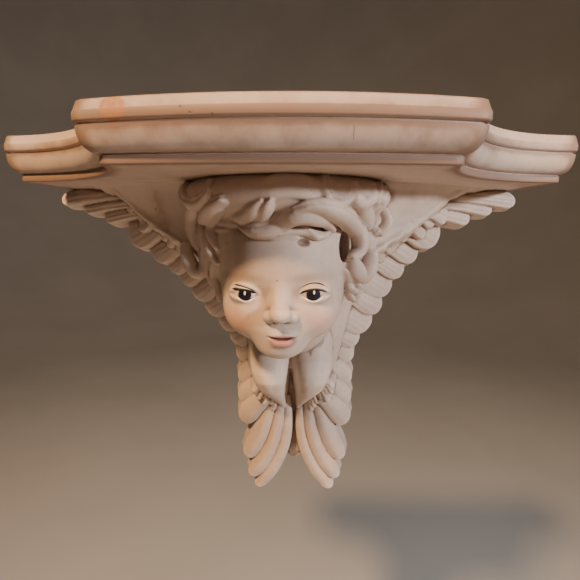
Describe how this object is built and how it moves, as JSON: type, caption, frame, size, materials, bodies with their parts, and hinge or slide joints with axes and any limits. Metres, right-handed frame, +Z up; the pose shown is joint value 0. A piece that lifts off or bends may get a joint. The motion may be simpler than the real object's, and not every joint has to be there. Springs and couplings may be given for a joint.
{
  "type": "cherub wall shelf",
  "caption": "Cast plaster wall shelf: a moulded board with a bowed breakfront, carried by a winged child's head with long folded lower wings.",
  "frame": {"origin": "on the flat back, where the wall touches it, on the centre line, 56 mm below the shelf's top", "axes": "+X to the right seen from the front, +Y into the wall, +Z up"},
  "size_m": [0.356, 0.161, 0.2715],
  "materials": {
    "painted_plaster": "matt painted plaster, warm stone colour"
  },
  "bodies": {
    "root": {"cherub_wall_shelf": "painted_plaster"}
  },
  "joints": []
}
